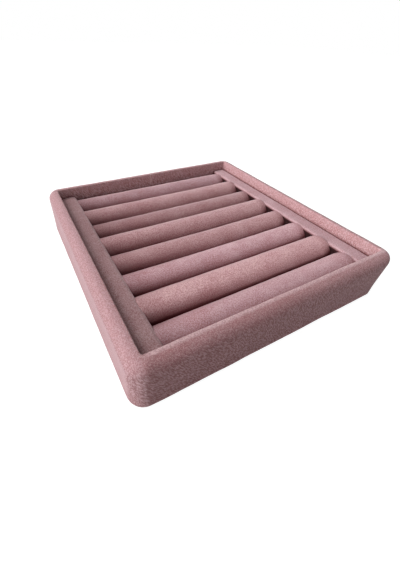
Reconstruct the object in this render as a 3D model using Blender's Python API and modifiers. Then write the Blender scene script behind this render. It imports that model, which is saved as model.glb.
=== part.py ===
"""Ring display stand: a shallow velvet-covered tray with a lift-out insert of padded ring rolls.

The origin is the middle of the underside. The rolls lie along X, the front roll has the lowest Y, and +Z is
up. Every size is in metres. The tray is a bottom board and four mitred rails, wrapped in one strip of
velvet. The insert is a card that carries the rolls between two padded bars, and it lifts straight out.
"""

import math

import bmesh
import bpy

OBJECT_NAME = "ring_display_stand"

# Outside of the tray, over its velvet
TRAY_WIDTH = 0.160
TRAY_DEPTH = 0.160
TRAY_HEIGHT = 0.030
CORNER_RADIUS = 0.008
RIM_RADIUS = 0.0045
FOOT_RADIUS = 0.0008

# Thickness of each sheet and board
VELVET = 0.0010
RAIL = 0.0044
BASE_BOARD = 0.0020
BASE_COVER = 0.0006
FLOOR_LINING = 0.0006
INSERT_BOARD = 0.0012

# Room left between glued pieces, and round the insert
GLUE_GAP = 0.0003
INSERT_CLEARANCE = 0.0005

# The wrap's hem under the tray, the joint between the wrap's ends, and the sheet that covers the hem
HEM_WIDTH = 0.012
SEAM_WIDTH = 0.0003
BASE_COVER_INSET = 0.0012

# Ring rolls, front to back: the foam is soft, so each fills a slightly different share of the depth
ROLL_THICKNESS_SHARES = (0.995, 1.03, 1.005, 0.995, 1.025, 0.94, 1.025, 0.98)
ROLL_SHOULDER_RADIUS = 0.0018
ROLL_FLAT_DEPTH = 0.0008

# End bars, and the strip under each roll and bar where the edges of its velvet don't quite meet
BAR_WIDTH = 0.011
BAR_HEIGHT = 0.0173
BAR_EDGE_RADIUS = 0.0024
SLIT_WIDTH = 0.003

# How far a cutter runs past what it cuts, and how near two points have to be to become one
OVERRUN = 0.002
WELD_DISTANCE = 0.00001

CORNER_SEGMENTS = 6
RIM_SEGMENTS = 5
FOOT_SEGMENTS = 2
SHOULDER_SEGMENTS = 3
COVER_STEPS = 24
CORE_STEPS = 16
SMOOTH_ANGLE = math.radians(35)

# Levels and spans that follow from the sizes above
SKIN = VELVET + GLUE_GAP
WALL = RAIL + 2 * SKIN
INNER_WIDTH = TRAY_WIDTH - 2 * WALL
INNER_DEPTH = TRAY_DEPTH - 2 * WALL
HEM_LEVEL = BASE_COVER + GLUE_GAP
BOARD_LEVEL = HEM_LEVEL + SKIN
FLOOR_LEVEL = BOARD_LEVEL + BASE_BOARD + GLUE_GAP
INSERT_LEVEL = FLOOR_LEVEL + FLOOR_LINING + GLUE_GAP
INSERT_WIDTH = INNER_WIDTH - 2 * INSERT_CLEARANCE
INSERT_DEPTH = INNER_DEPTH - 2 * INSERT_CLEARANCE
# Above the insert's own underside
PAD_LEVEL = INSERT_BOARD + GLUE_GAP
ROLL_LENGTH = INSERT_WIDTH - 2 * BAR_WIDTH - 2 * GLUE_GAP

VELVET_PINK = (0.418, 0.216, 0.232)
LINING_PINK = (0.300, 0.150, 0.165)
BOARD_BROWN = (0.420, 0.300, 0.190)
CARD_GREY = (0.330, 0.310, 0.280)
FOAM_WHITE = (0.800, 0.780, 0.740)


def clear_scene():
    for obj in list(bpy.data.objects):
        bpy.data.objects.remove(obj, do_unlink=True)


def add_collection(name):
    collection = bpy.data.collections.new(name)
    bpy.context.scene.collection.children.link(collection)


def add_material(name, colour, roughness, sheen=0):
    material = bpy.data.materials.new(name)
    material.use_nodes = True
    shader = material.node_tree.nodes["Principled BSDF"]
    shader.inputs["Base Color"].default_value = (*colour, 1)
    shader.inputs["Roughness"].default_value = roughness
    shader.inputs["Metallic"].default_value = 0
    shader.inputs["Sheen Weight"].default_value = sheen
    return material


def add_velvet(name):
    return add_material(name, VELVET_PINK, roughness=0.95, sheen=0.6)


def add_object(name, mesh, collection, place, parent):
    obj = bpy.data.objects.new(name, mesh)
    bpy.data.collections[collection].objects.link(obj)
    obj.location = place
    obj.parent = parent
    return obj


def add_piece(name, mesh, material, place=(0, 0, 0), parent=None):
    mesh.materials.append(material)
    return add_object(name, mesh, OBJECT_NAME, place, parent)


def add_cutter(name, mesh, place=(0, 0, 0), parent=None):
    obj = add_object(name, mesh, OBJECT_NAME + "_cutters", place, parent)
    obj.hide_render = True
    obj.display_type = "WIRE"
    return obj


def add_boolean(obj, other, operation="DIFFERENCE"):
    modifier = obj.modifiers.new(other.name, "BOOLEAN")
    modifier.operation = operation
    modifier.solver = "EXACT"
    modifier.object = other


def bevel_between(bm, low, high, radius, segments, upright=False):
    """Rounds the edges that lie between two heights, or the upright edges alone."""
    chosen = [
        edge
        for edge in bm.edges
        if all(low <= vert.co.z <= high for vert in edge.verts)
        and (edge.verts[0].co.z != edge.verts[1].co.z) == upright
    ]
    bmesh.ops.bevel(
        bm, geom=chosen, offset=radius, segments=segments, profile=0.5, affect="EDGES"
    )


def box_mesh(name, width, depth, low, high, corner=0, rim=0, foot=0, segments=RIM_SEGMENTS):
    """A box round the Z axis from low to high, with rounded uprights, top edge and foot."""
    bm = bmesh.new()
    bmesh.ops.create_cube(bm, size=1)
    bmesh.ops.scale(bm, vec=(width, depth, high - low), verts=bm.verts)
    bmesh.ops.translate(bm, vec=(0, 0, (low + high) / 2), verts=bm.verts)
    middle = (low + high) / 2
    if corner:
        bevel_between(bm, -math.inf, math.inf, corner, CORNER_SEGMENTS, upright=True)
    if rim:
        bevel_between(bm, middle, math.inf, rim, segments)
    if foot:
        bevel_between(bm, -math.inf, middle, foot, FOOT_SEGMENTS)
    mesh = bpy.data.meshes.new(name)
    bm.to_mesh(mesh)
    bm.free()
    mesh.shade_smooth()
    mesh.set_sharp_from_angle(angle=SMOOTH_ANGLE)
    return mesh


def add_rod(add, name, radius, length, shoulder, steps, place, parent, **look):
    """A rod along X with rounded shoulders: a profile turned about the rod's own axis."""
    half = length / 2
    outline = [(0, half)]
    for step in range(SHOULDER_SEGMENTS + 1):
        angle = math.pi / 2 * step / SHOULDER_SEGMENTS
        across = radius - shoulder + shoulder * math.sin(angle)
        along = half - shoulder + shoulder * math.cos(angle)
        outline.append((across, along))
    outline += [(across, -along) for across, along in reversed(outline)]
    mesh = bpy.data.meshes.new(name)
    edges = [(index, index + 1) for index in range(len(outline) - 1)]
    mesh.from_pydata([(across, 0, along) for across, along in outline], edges, [])
    obj = add(name, mesh, place=place, parent=parent, **look)
    obj.rotation_euler = (0, math.pi / 2, 0)
    turn = obj.modifiers.new("turn", "SCREW")
    turn.axis = "Z"
    turn.steps = steps
    turn.render_steps = steps
    turn.use_smooth_shade = True
    turn.use_merge_vertices = True
    turn.merge_threshold = WELD_DISTANCE
    return obj


def tray_bottom():
    """The sheet the tray stands on, the bottom board and the lining of the floor."""
    cover = box_mesh(
        "base_cover",
        TRAY_WIDTH - 2 * BASE_COVER_INSET,
        TRAY_DEPTH - 2 * BASE_COVER_INSET,
        0,
        BASE_COVER,
        corner=CORNER_RADIUS - BASE_COVER_INSET,
    )
    add_piece("base_cover", cover, add_material("underside_velvet", LINING_PINK, roughness=0.95))
    board = box_mesh(
        "base_board",
        TRAY_WIDTH - 2 * SKIN,
        TRAY_DEPTH - 2 * SKIN,
        BOARD_LEVEL,
        BOARD_LEVEL + BASE_BOARD,
        corner=CORNER_RADIUS - SKIN,
    )
    add_piece("base_board", board, add_material("base_fibreboard", BOARD_BROWN, roughness=0.8))
    lining = box_mesh(
        "floor_lining",
        INNER_WIDTH - 2 * GLUE_GAP,
        INNER_DEPTH - 2 * GLUE_GAP,
        FLOOR_LEVEL,
        FLOOR_LEVEL + FLOOR_LINING,
    )
    add_piece("floor_lining", lining, add_material("floor_velvet", LINING_PINK, roughness=0.95))


def tray_rails():
    """Four wall boards on the bottom board, cut from one rounded frame along its mitres."""
    low = FLOOR_LEVEL
    high = TRAY_HEIGHT - SKIN
    bore = add_cutter(
        "rail_bore",
        box_mesh(
            "rail_bore",
            INNER_WIDTH + 2 * SKIN,
            INNER_DEPTH + 2 * SKIN,
            low - OVERRUN,
            high + OVERRUN,
        ),
    )
    # A rail's two mitres are the sides of a square block turned by 45 degrees, which keeps that rail alone
    side = max(TRAY_WIDTH, TRAY_DEPTH)
    block = box_mesh("mitre_block", side, side, low - OVERRUN, high + OVERRUN)
    reach = (side + GLUE_GAP) / math.sqrt(2)
    offset = (TRAY_WIDTH - TRAY_DEPTH) / 2
    places = {
        "front_rail": (0, offset - reach, 0),
        "back_rail": (0, reach - offset, 0),
        "left_rail": (-offset - reach, 0, 0),
        "right_rail": (offset + reach, 0, 0),
    }
    material = add_material("rail_fibreboard", BOARD_BROWN, roughness=0.8)
    for name, place in places.items():
        frame = box_mesh(
            name,
            TRAY_WIDTH - 2 * SKIN,
            TRAY_DEPTH - 2 * SKIN,
            low,
            high,
            corner=CORNER_RADIUS - SKIN,
            rim=RIM_RADIUS - SKIN,
        )
        rail = add_piece(name, frame, material)
        mitre = add_cutter("mitre_of_" + name, block, place)
        mitre.rotation_euler = (0, 0, math.pi / 4)
        add_boolean(rail, bore)
        add_boolean(rail, mitre, "INTERSECT")


def tray_wrap():
    """One strip of velvet: hem, outside, rim and inside, with its ends butted behind."""
    wrap = add_piece(
        "wall_wrap",
        box_mesh(
            "wall_wrap",
            TRAY_WIDTH,
            TRAY_DEPTH,
            HEM_LEVEL,
            TRAY_HEIGHT,
            corner=CORNER_RADIUS,
            rim=RIM_RADIUS,
            foot=FOOT_RADIUS,
        ),
        add_velvet("wall_velvet"),
    )
    filling = add_cutter(
        "wrap_filling",
        box_mesh(
            "wrap_filling",
            TRAY_WIDTH - 2 * VELVET,
            TRAY_DEPTH - 2 * VELVET,
            HEM_LEVEL + VELVET,
            TRAY_HEIGHT - VELVET,
            corner=CORNER_RADIUS - VELVET,
            rim=RIM_RADIUS - VELVET,
        ),
    )
    inside = add_cutter(
        "wrap_inside",
        box_mesh(
            "wrap_inside",
            INNER_WIDTH + 2 * VELVET,
            INNER_DEPTH + 2 * VELVET,
            FLOOR_LEVEL,
            TRAY_HEIGHT + OVERRUN,
        ),
    )
    opening = add_cutter(
        "tray_opening",
        box_mesh("tray_opening", INNER_WIDTH, INNER_DEPTH, BOARD_LEVEL, TRAY_HEIGHT + OVERRUN),
    )
    hem = add_cutter(
        "hem_opening",
        box_mesh(
            "hem_opening",
            TRAY_WIDTH - 2 * HEM_WIDTH,
            TRAY_DEPTH - 2 * HEM_WIDTH,
            HEM_LEVEL - OVERRUN,
            BOARD_LEVEL,
        ),
    )
    strip = max(HEM_WIDTH, WALL)
    seam = add_cutter(
        "wrap_seam",
        box_mesh(
            "wrap_seam",
            SEAM_WIDTH,
            strip + 2 * OVERRUN,
            HEM_LEVEL - OVERRUN,
            TRAY_HEIGHT + OVERRUN,
        ),
        (0, (TRAY_DEPTH - strip) / 2, 0),
    )
    add_boolean(filling, inside)
    for other in (filling, opening, hem, seam):
        add_boolean(wrap, other)


def insert_board(lift):
    board = box_mesh("insert_board", INSERT_WIDTH, INSERT_DEPTH, 0, INSERT_BOARD)
    add_piece("insert_board", board, add_material("insert_card", CARD_GREY, roughness=0.9), parent=lift)


def roll_places():
    """The middle and the radius of each roll, front to back: together they fill the insert's depth."""
    room = INSERT_DEPTH - (len(ROLL_THICKNESS_SHARES) - 1) * GLUE_GAP
    front = -INSERT_DEPTH / 2
    places = []
    for share in ROLL_THICKNESS_SHARES:
        thickness = room * share / sum(ROLL_THICKNESS_SHARES)
        middle = (0, front + thickness / 2, PAD_LEVEL + thickness / 2 - ROLL_FLAT_DEPTH)
        places.append((middle, thickness / 2))
        front += thickness + GLUE_GAP
    return places


def seat_cut(name, level, lift):
    """Takes away what lies under a level, so that soft rolls stand flat on what carries them."""
    low = PAD_LEVEL - ROLL_FLAT_DEPTH - OVERRUN
    return add_cutter(name, box_mesh(name, INSERT_WIDTH, INSERT_DEPTH, low, level), parent=lift)


def slit_mesh(name, length):
    """The bare strip under a roll or bar, reaching from below it into its hollow."""
    return box_mesh(name, length, SLIT_WIDTH, PAD_LEVEL - OVERRUN, PAD_LEVEL + SKIN)


def ring_rolls(lift):
    """Foam rods along X, each in a velvet sleeve with rounded, closed ends."""
    cover_seat = seat_cut("roll_cover_seat", PAD_LEVEL, lift)
    hollow_seat = seat_cut("roll_hollow_seat", PAD_LEVEL + VELVET, lift)
    core_seat = seat_cut("roll_core_seat", PAD_LEVEL + SKIN, lift)
    slit = slit_mesh("roll_slit", ROLL_LENGTH - 2 * ROLL_SHOULDER_RADIUS - 2 * SKIN)
    velvet = add_velvet("roll_velvet")
    foam = add_material("roll_foam", FOAM_WHITE, roughness=0.9)
    for number, (middle, radius) in enumerate(roll_places(), start=1):
        cover = add_rod(
            add_piece,
            f"roll_cover_{number}",
            radius,
            ROLL_LENGTH,
            ROLL_SHOULDER_RADIUS,
            COVER_STEPS,
            middle,
            lift,
            material=velvet,
        )
        hollow = add_rod(
            add_cutter,
            f"roll_hollow_{number}",
            radius - VELVET,
            ROLL_LENGTH - 2 * VELVET,
            ROLL_SHOULDER_RADIUS - VELVET,
            CORE_STEPS,
            middle,
            lift,
        )
        core = add_rod(
            add_piece,
            f"roll_core_{number}",
            radius - SKIN,
            ROLL_LENGTH - 2 * SKIN,
            ROLL_SHOULDER_RADIUS - SKIN,
            CORE_STEPS,
            middle,
            lift,
            material=foam,
        )
        add_boolean(hollow, hollow_seat)
        add_boolean(core, core_seat)
        add_boolean(cover, cover_seat)
        add_boolean(cover, hollow)
        add_boolean(cover, add_cutter(f"roll_slit_{number}", slit, (0, middle[1], 0), lift))


def end_bars(lift):
    """A padded bar across the rolls' ends, left and right: a foam strip in a velvet sleeve."""
    velvet = add_velvet("bar_velvet")
    foam = add_material("bar_foam", FOAM_WHITE, roughness=0.9)
    top = PAD_LEVEL + BAR_HEIGHT
    hollow = box_mesh(
        "bar_hollow",
        BAR_WIDTH - 2 * VELVET,
        INSERT_DEPTH - 2 * VELVET,
        PAD_LEVEL + VELVET,
        top - VELVET,
        rim=BAR_EDGE_RADIUS - VELVET,
        segments=SHOULDER_SEGMENTS,
    )
    slit = slit_mesh("bar_slit", INSERT_DEPTH - 2 * BAR_EDGE_RADIUS)
    for side, sign in (("left", -1), ("right", 1)):
        place = (sign * (INSERT_WIDTH - BAR_WIDTH) / 2, 0, 0)
        cover = box_mesh(
            side + "_bar_cover",
            BAR_WIDTH,
            INSERT_DEPTH,
            PAD_LEVEL,
            top,
            rim=BAR_EDGE_RADIUS,
            segments=SHOULDER_SEGMENTS,
        )
        core = box_mesh(
            side + "_bar_core",
            BAR_WIDTH - 2 * SKIN,
            INSERT_DEPTH - 2 * SKIN,
            PAD_LEVEL + SKIN,
            top - SKIN,
            rim=BAR_EDGE_RADIUS - SKIN,
            segments=SHOULDER_SEGMENTS,
        )
        sleeve = add_piece(side + "_bar_cover", cover, velvet, place, lift)
        add_piece(side + "_bar_core", core, foam, place, lift)
        gap = add_cutter(side + "_bar_slit", slit, place, lift)
        gap.rotation_euler = (0, 0, math.pi / 2)
        add_boolean(sleeve, add_cutter(side + "_bar_hollow", hollow, place, lift))
        add_boolean(sleeve, gap)


def build():
    clear_scene()
    add_collection(OBJECT_NAME)
    add_collection(OBJECT_NAME + "_cutters")
    tray_bottom()
    tray_rails()
    tray_wrap()
    # The insert rises along this empty's Z axis, from its seat on the tray's floor
    lift = add_object("insert_lift", None, OBJECT_NAME, (0, 0, INSERT_LEVEL), None)
    insert_board(lift)
    ring_rolls(lift)
    end_bars(lift)


build()
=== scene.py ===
"""Ring display tray, dressed: velvet round the tray, padded ring rolls and end bars, and a pale studio.

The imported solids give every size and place. Each new piece is modelled round its own solid and rides on
that solid's body. The rolls lie along X, the front wall faces -Y, and +Z is up. Lengths are in metres.
"""

import contextlib
import math

import bmesh
import bpy
from mathutils import Matrix, Vector


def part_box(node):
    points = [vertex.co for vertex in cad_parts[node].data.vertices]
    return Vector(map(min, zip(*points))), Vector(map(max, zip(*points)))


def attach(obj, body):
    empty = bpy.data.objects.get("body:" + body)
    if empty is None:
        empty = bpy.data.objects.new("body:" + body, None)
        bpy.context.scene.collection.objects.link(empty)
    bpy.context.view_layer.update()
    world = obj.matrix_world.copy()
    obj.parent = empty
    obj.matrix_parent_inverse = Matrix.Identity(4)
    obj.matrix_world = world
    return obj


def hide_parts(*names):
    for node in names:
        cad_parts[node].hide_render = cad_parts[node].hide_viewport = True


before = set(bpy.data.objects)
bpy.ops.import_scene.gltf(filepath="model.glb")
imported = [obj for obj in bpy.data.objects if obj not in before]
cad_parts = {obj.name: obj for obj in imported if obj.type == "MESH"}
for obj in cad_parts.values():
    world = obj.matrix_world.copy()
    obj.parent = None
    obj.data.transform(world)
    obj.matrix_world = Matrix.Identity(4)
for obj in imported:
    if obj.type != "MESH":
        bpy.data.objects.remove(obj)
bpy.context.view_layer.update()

bl_info = {
    "name": "Velvet ring tray",
    "version": (1, 0, 0),
    "blender": (4, 5, 0),
    "location": "View3D > Sidebar > Ring tray",
    "description": "Dresses a ring display tray: velvet walls, padded ring rolls and end bars",
    "category": "Add Mesh",
}

MM = 0.001
ROLLS = range(1, 9)
# Each roll's velvet gets its own depth of tone, front to back, brighter toward the front: partly the cloth's
# own tone, partly painted light
ROLL_TONES = (1.36, 1.37, 1.44, 1.2, 1.21, 1.02, 1.16, 1.12)
LILAC_ROLLS = (1, 3, 8)
# How much thinner than its solid each roll is packed, in millimetres of its radius
ROLL_SLIMNESS = (0.2, 0.05, 0.55, 0.6, 0.4, 0.25, 0.45, 0.0)
# Points nearer than this to a line or level lie on it
TOUCH = 0.01 * MM
# The frames over which the cloth fills out
CLOTH_FRAMES = range(1, 21)
# Each lamp's place in metres, its width and height in metres, and its power in watts. All face the tray
LAMPS = {
    "side_window": ((-2.85, -0.05, 0.93), 2.6, 1.5, 103),
    "high_window": ((-1.54, 1.16, 2.3), 2, 2, 62),
    "room": ((1.63, 1.63, 1.93), 1.5, 1.5, 13),
    "room_front": ((0, -2.7, 1.3), 2, 1.5, 19),
}
X_AXIS = Vector((1, 0, 0))
Y_AXIS = Vector((0, 1, 0))
Z_AXIS = Vector((0, 0, 1))


def linear(hex_colour):
    """An sRGB hex colour such as "#B98A8F" as linear red, green and blue."""
    shares = [int(hex_colour[start : start + 2], 16) / 255 for start in (1, 3, 5)]
    return tuple(s / 12.92 if s <= 0.04045 else ((s + 0.055) / 1.055) ** 2.4 for s in shares)


def colour_setting(name, description, hex_colour):
    return bpy.props.FloatVectorProperty(
        name=name,
        description=description,
        subtype="COLOR",
        size=3,
        min=0,
        max=1,
        default=linear(hex_colour),
    )


def length_setting(name, description, millimetres):
    return bpy.props.FloatProperty(
        name=name,
        description=description,
        unit="LENGTH",
        min=0,
        default=millimetres * MM,
    )


class WallSettings(bpy.types.PropertyGroup):
    """Sizes of the velvet strip that goes round the tray's walls."""

    corner_radius: length_setting("Corner", "Radius of the tray's upright outer corners", 8)
    rim_radius: length_setting("Rim", "Rounding of the walls' outer top edge", 5.8)
    inner_radius: length_setting("Inner edge", "Rounding of the walls' inner top edge", 0.5)
    foot_radius: length_setting("Foot", "Rounding of the walls' outer bottom edge", 0.5)
    flare: length_setting("Flare", "How far the walls stand out at their foot", 0.35)
    flare_height: length_setting("Flare height", "How far up the walls the flare reaches", 10)
    velvet: length_setting("Velvet", "Thickness of the velvet with its backing", 1)
    glue_gap: length_setting("Glue", "Room between the velvet and the board behind it", 0.3)
    hem: length_setting("Hem", "Width of the velvet that is turned under the tray", 12)
    grid: length_setting("Grid", "Spacing of the mesh that carries the unevenness", 4)
    unevenness: length_setting("Unevenness", "How far the velvet over the board rises and falls", 0.35)
    unevenness_width: length_setting("Unevenness width", "Size of one rise or hollow", 14)
    seam: length_setting("Seam", "Width of the joint between the strip's two ends", 0.5)
    seam_depth: length_setting("Seam depth", "How deep the joint sinks into the nap", 0.4)


class PaddingSettings(bpy.types.PropertyGroup):
    """Sizes of the padded rolls and end bars, and how firmly they are filled."""

    shoulder: length_setting("Shoulder", "Rounding of a roll's ends", 0.9)
    bar_edge: length_setting("Bar edge", "Rounding of a bar's top edges", 0.9)
    slack: length_setting("Slack", "How much smaller a piece starts than the space that it fills", 0.4)
    swell: length_setting("Swell", "The furthest that the filling may push the velvet out", 0.5)
    grid: length_setting("Grid", "Spacing of the mesh along a piece", 2)
    unevenness: length_setting("Unevenness", "How far the stuffed velvet rises and falls", 0.3)
    unevenness_width: length_setting("Unevenness width", "Size of one rise or hollow", 11)
    pressure: bpy.props.FloatProperty(
        name="Pressure",
        description="Push of the filling on the velvet",
        min=0,
        default=4,
    )
    lean: bpy.props.FloatProperty(
        name="Lean",
        description="Slope of the left bar's top, which is higher beside the rolls",
        subtype="ANGLE",
        default=math.radians(5),
    )
    sag: length_setting("Sag", "How far the right bar's top has settled", 0.5)
    undercut: length_setting("Undercut", "How far a bar's side tucks in below its top edge", 0.8)
    press: length_setting("Press", "How far the rolls reach into the bars' soft sides", 1.8)
    bar_corner: length_setting("Bar corner", "Rounding of a bar's top edge beside the rolls", 2.0)


class ColourSettings(bpy.types.PropertyGroup):
    """Colours of the velvet and of the boards, card and foam inside."""

    pile: colour_setting("Pile", "Velvet seen into the pile", "#8F5F62")
    brushed: colour_setting("Brushed", "Velvet seen along the brushed pile", "#C0A0A1")
    # Lilac is the pale colour of rolls 1, 3 and 8 and of the right bar, and is also painted on the walls'
    # left side as painted light
    lilac: colour_setting("Lilac", "Velvet whose pile leans away from the light", "#BBA0A6")
    wall_pile: colour_setting("Wall pile", "Velvet round the walls seen into the pile", "#9D6C6E")
    wall_brushed: colour_setting("Wall brushed", "Velvet round the walls seen along the pile", "#BC979A")
    # The inner colours are a brighter copy of the wall velvet: painted light
    inner_pile: colour_setting("Inner pile", "Velvet inside the walls seen into the pile", "#B37F81")
    inner_brushed: colour_setting("Inner brushed", "Velvet inside the walls seen along the pile", "#C1A8AA")
    # Edge is a painted highlight on the front rim's inner edge and on the bars' rounded edges
    edge: colour_setting("Edge", "Tips of the pile along the inner edge of the rim", "#DDBFC1")
    taupe: colour_setting("Taupe", "Velvet rubbed against its pile", "#B9A3A0")
    # Tips is a painted sheen, laid where the eye looks along the cloth
    tips: colour_setting("Tips", "Velvet seen at a flat angle, along the tips of its pile", "#B79CA1")
    sheen: colour_setting("Sheen", "Light caught by the tips of the pile", "#F3DCE0")
    backing: colour_setting("Backing", "Cut edge of the velvet at the joint", "#E6CDCB")
    fibreboard: colour_setting("Fibreboard", "Walls and bottom board", "#A98058")
    card: colour_setting("Card", "Stiff card under the rolls", "#9A938A")
    foam: colour_setting("Foam", "Filling of the rolls and bars", "#E9E4DA")


class StageSettings(bpy.types.PropertyGroup):
    """The camera, the floor and the lights."""

    camera_place: bpy.props.FloatVectorProperty(
        name="Camera",
        description="Where the camera stands",
        subtype="TRANSLATION",
        default=(-92.25 * MM, -123.4 * MM, 118.28 * MM),
    )
    azimuth: bpy.props.FloatProperty(
        name="Azimuth",
        description="How far the camera looks to the right of +Y",
        subtype="ANGLE",
        default=math.radians(29.437),
    )
    elevation: bpy.props.FloatProperty(
        name="Elevation",
        description="How far the camera looks down",
        subtype="ANGLE",
        default=math.radians(41.958),
    )
    tilt: bpy.props.FloatProperty(
        name="Tilt",
        description="How far the camera is turned about its own line of sight",
        subtype="ANGLE",
        default=math.radians(2.474),
    )
    floor: colour_setting("Floor", "The plain pale floor", "#8C8B8A")
    surround: colour_setting("Surround", "Soft light from all round", "#F2F4F8")


class TraySettings(bpy.types.PropertyGroup):
    """All that can be set on the tray."""

    wall: bpy.props.PointerProperty(type=WallSettings)
    padding: bpy.props.PointerProperty(type=PaddingSettings)
    colours: bpy.props.PointerProperty(type=ColourSettings)
    stage: bpy.props.PointerProperty(type=StageSettings)


def add_primitive(add, name, **where):
    """Adds a primitive with nothing else selected, and gives its mesh its place and turn."""
    bpy.ops.object.select_all(action="DESELECT")
    add(**where)
    obj = bpy.context.object
    obj.name = name
    obj.data.name = name
    bpy.ops.object.transform_apply(location=True, rotation=True, scale=True)
    return obj


@contextlib.contextmanager
def editing(obj):
    """Puts one object in edit mode and leaves it again."""
    bpy.ops.object.select_all(action="DESELECT")
    obj.select_set(True)
    bpy.context.view_layer.objects.active = obj
    bpy.ops.object.mode_set(mode="EDIT")
    yield
    bpy.ops.object.mode_set(mode="OBJECT")


def select(obj, kind, test):
    """Selects the vertices, edges or faces of the object in edit mode that pass a test."""
    bpy.ops.mesh.select_mode(type=kind)
    bpy.ops.mesh.select_all(action="DESELECT")
    mesh = bmesh.from_edit_mesh(obj.data)
    for part in {"VERT": mesh.verts, "EDGE": mesh.edges, "FACE": mesh.faces}[kind]:
        part.select_set(test(part))
    mesh.select_flush_mode()
    bmesh.update_edit_mesh(obj.data)


def slice_across(axis, low, high, step):
    """Cuts the mesh in edit mode across an axis, at even steps between two places."""
    count = max(1, round((high - low) / step))
    for number in range(1, count):
        bpy.ops.mesh.select_all(action="SELECT")
        place = low + (high - low) * number / count
        bpy.ops.mesh.bisect(plane_co=axis * place, plane_no=axis)


def apply_modifier(obj, name, kind, **settings):
    """Adds a modifier with its settings and applies it."""
    bpy.context.view_layer.objects.active = obj
    modifier = obj.modifiers.new(name, kind)
    for key, value in settings.items():
        setattr(modifier, key, value)
    bpy.ops.object.modifier_apply(modifier=modifier.name)


def soften(obj, levels):
    """Rounds the mesh with subdivision and shades it smooth."""
    apply_modifier(obj, "soften", "SUBSURF", levels=levels, render_levels=levels)
    obj.data.shade_smooth()


def fill_box(obj, low, high):
    """Stretches the mesh until it just fills a box."""
    places = [vert.co for vert in obj.data.vertices]
    own_low = Vector(min(co[axis] for co in places) for axis in range(3))
    own_high = Vector(max(co[axis] for co in places) for axis in range(3))
    stretch = Matrix.Diagonal([(high[i] - low[i]) / (own_high[i] - own_low[i]) for i in range(3)])
    move = Matrix.Translation(low) @ stretch.to_4x4() @ Matrix.Translation(-own_low)
    obj.data.transform(move)


def uneven(obj, height, width):
    """Lets the velvet rise and fall a little over what is behind it."""
    clouds = bpy.data.textures.new(obj.name + "_unevenness", "CLOUDS")
    clouds.noise_scale = width
    apply_modifier(
        obj,
        "unevenness",
        "DISPLACE",
        texture=clouds,
        texture_coords="LOCAL",
        strength=height,
        mid_level=0.5,
    )
    bpy.data.textures.remove(clouds)


def finish_piece(obj, body, node, material):
    obj.data.materials.clear()
    obj.data.materials.append(material)
    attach(obj, body)
    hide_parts(node)


def add_node(tree, kind, inputs=None, **settings):
    """Adds a shader node. An input takes a value, a colour, or the socket of another node."""
    node = tree.nodes.new(kind)
    for name, value in settings.items():
        setattr(node, name, value)
    for name, value in (inputs or {}).items():
        socket = node.inputs[name]
        if isinstance(value, bpy.types.NodeSocket):
            tree.links.new(value, socket)
        elif socket.type == "RGBA":
            socket.default_value = (*value[:3], 1)
        else:
            socket.default_value = value
    return node


def new_material(name):
    """An empty material with its shader, output and the object's own coordinates."""
    material = bpy.data.materials.new(name)
    material.use_nodes = True
    tree = material.node_tree
    shader = tree.nodes["Principled BSDF"]
    place = add_node(tree, "ShaderNodeTexCoord").outputs["Object"]
    return material, tree, shader, place


def per_metre(millimetres):
    """The scale of a pattern whose features are this wide."""
    return 1 / (millimetres * MM)


def lay_over(tree, colour, layers):
    """A colour with layers over it, each a share and a colour that covers those below by that share."""
    for share, cover in layers:
        mix = add_node(tree, "ShaderNodeMix", {0: share, 6: colour, 7: cover}, data_type="RGBA")
        colour = mix.outputs[2]
    return colour


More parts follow.
